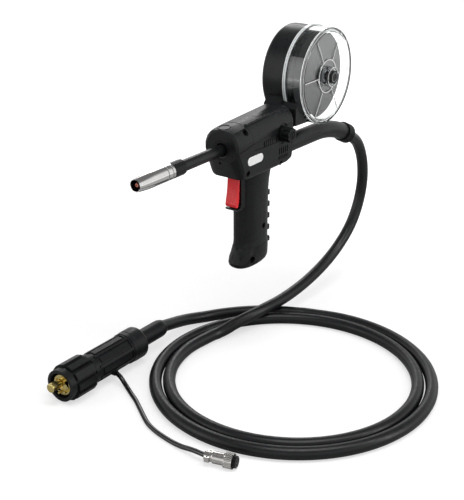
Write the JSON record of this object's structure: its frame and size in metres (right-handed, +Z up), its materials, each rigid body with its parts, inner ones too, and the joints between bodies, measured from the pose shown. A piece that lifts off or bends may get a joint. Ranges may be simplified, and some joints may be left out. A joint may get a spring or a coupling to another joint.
{
  "type": "MIG spool gun",
  "caption": "Hand-held MIG spool gun with wire spool, feed motor, hose, central connector and control plug.",
  "frame": {"origin": "middle of the hand grip", "axes": "+X forward along the barrel, +Y to the gun's left, +Z up"},
  "size_m": [0.5352, 0.3782, 0.3899],
  "materials": {
    "black_nylon": "fine-textured black glass-filled nylon moulding",
    "dark_nylon": "smooth black nylon",
    "grey_plastic": "grey moulded wire spool",
    "red_plastic": "red moulded trigger, satin gloss",
    "white_label": "plain white label, bare",
    "clear_cover": "clear polycarbonate moulding",
    "ptfe": "wire liner",
    "steel": "machined steel",
    "black_steel": "blackened steel screws",
    "black_coat": "satin black insulated tube",
    "aluminium": "cast aluminium feed parts",
    "chrome": "bright nickel plated nozzle",
    "nickel": "satin nickel plated plug shell",
    "brass": "turned brass",
    "copper": "copper and copper-coated wire",
    "sleeve_rubber": "smooth black elastomer sleeve",
    "hose_rubber": "satin black hose",
    "lead_pvc": "glossy black control lead"
  },
  "bodies": {
    "gun": {"housing_left": "black_nylon", "housing_right": "black_nylon", "cover_hinge_pin": "steel", "nose_plug": "dark_nylon", "label_plate": "white_label", "housing_screws": "black_steel", "barrel_socket": "black_coat", "conductor_tube": "black_coat", "wire_liner": "ptfe", "nozzle_insulator": "dark_nylon", "gas_diffuser": "brass", "contact_tip": "copper", "trigger_pin": "steel", "trigger_spring": "steel", "trigger_bracket": "dark_nylon", "microswitch": "dark_nylon", "gearmotor": "steel", "feed_plate": "aluminium", "arm_pin": "steel", "pressure_spring": "steel", "inlet_guide": "brass", "spool_housing": "black_nylon", "spool_spindle": "steel", "brake_spring": "steel", "welding_wire": "copper", "cable_sleeve": "sleeve_rubber", "sleeve_collar": "sleeve_rubber", "hose_drop": "hose_rubber", "hose_coil": "hose_rubber", "hose_tail": "hose_rubber", "euro_boot": "sleeve_rubber", "euro_collar": "black_nylon", "euro_body": "black_nylon", "euro_block": "brass", "euro_signal_pins": "brass", "control_lead": "lead_pvc", "plug_clamp": "nickel", "plug_shell": "nickel", "plug_insert": "dark_nylon"},
    "trigger": {"trigger": "red_plastic"},
    "drive": {"drive_shaft": "steel", "drive_roll": "steel"},
    "pressure_arm": {"pressure_arm": "aluminium", "roll_pin": "steel"},
    "pressure_roll": {"pressure_roll": "steel"},
    "tension_knob": {"tension_knob": "dark_nylon"},
    "feed_cover": {"feed_cover": "black_nylon"},
    "spool": {"wire_spool": "grey_plastic", "spool_band": "black_coat", "wound_wire": "copper"},
    "spool_cover": {"spool_cover": "clear_cover"},
    "hub_cap": {"hub_cap": "dark_nylon"},
    "brake_nut": {"brake_nut": "black_steel"},
    "nozzle": {"nozzle": "chrome"},
    "ring_nut": {"euro_ring_nut": "black_nylon"},
    "plug_ring": {"plug_ring": "nickel"}
  },
  "joints": [
    {"name": "trigger_pull", "type": "hinge", "parent": "gun", "child": "trigger", "pos_m": [0.03, 0, 0.063], "axis": [0, 1, 0], "range_deg": [0, 5], "stiffness_Nm_per_rad": 0.4, "deforming": ["trigger_spring"]},
    {"name": "spool_spin", "type": "hinge", "parent": "gun", "child": "spool", "pos_m": [-0.118, 0, 0.15], "axis": [0, 1, 0], "continuous": true},
    {"name": "drive_spin", "type": "hinge", "parent": "gun", "child": "drive", "pos_m": [0, -0.0102, 0.097], "axis": [0, 0, 1], "continuous": true},
    {"name": "pressure_arm_swing", "type": "hinge", "parent": "gun", "child": "pressure_arm", "pos_m": [0.024, 0.015, 0.097], "axis": [0, 0, -1], "range_deg": [0, 2], "stiffness_Nm_per_rad": 2, "deforming": ["pressure_spring"]},
    {"name": "pressure_roll_spin", "type": "hinge", "parent": "pressure_arm", "child": "pressure_roll", "pos_m": [0, 0.0087, 0.097], "axis": [0, 0, 1], "continuous": true},
    {"name": "tension_knob_turn", "type": "hinge", "parent": "gun", "child": "tension_knob", "pos_m": [-0.03, 0.03, 0.0985], "axis": [0, 1, 0], "continuous": true},
    {"name": "feed_cover_open", "type": "hinge", "parent": "gun", "child": "feed_cover", "pos_m": [0, 0.0131, 0.1222], "axis": [0.999, 0, -0.0454], "range_deg": [0, 100]},
    {"name": "spool_cover_off", "type": "slide", "parent": "gun", "child": "spool_cover", "axis": [0, 1, 0], "range_m": [0, 0.07]},
    {"name": "hub_cap_turn", "type": "hinge", "parent": "spool_cover", "child": "hub_cap", "pos_m": [-0.118, 0.037, 0.15], "axis": [0, 1, 0], "continuous": true},
    {"name": "brake_nut_turn", "type": "hinge", "parent": "gun", "child": "brake_nut", "pos_m": [-0.118, 0.031, 0.15], "axis": [0, 1, 0], "continuous": true},
    {"name": "nozzle_off", "type": "slide", "parent": "gun", "child": "nozzle", "axis": [1, 0, 0], "range_m": [0, 0.06]},
    {"name": "ring_nut_turn", "type": "hinge", "parent": "gun", "child": "ring_nut", "pos_m": [0.2075, -0.102, -0.15784], "axis": [1, 0, 0], "continuous": true},
    {"name": "plug_ring_turn", "type": "hinge", "parent": "gun", "child": "plug_ring", "pos_m": [0.22485, 0.12968, -0.1716], "axis": [-0.2419, 0.9703, 0], "continuous": true}
  ],
  "couplings": [
    {"joint": "drive_spin", "follows": "spool_spin", "ratio": 4.652},
    {"joint": "pressure_roll_spin", "follows": "spool_spin", "ratio": -5.454}
  ]
}
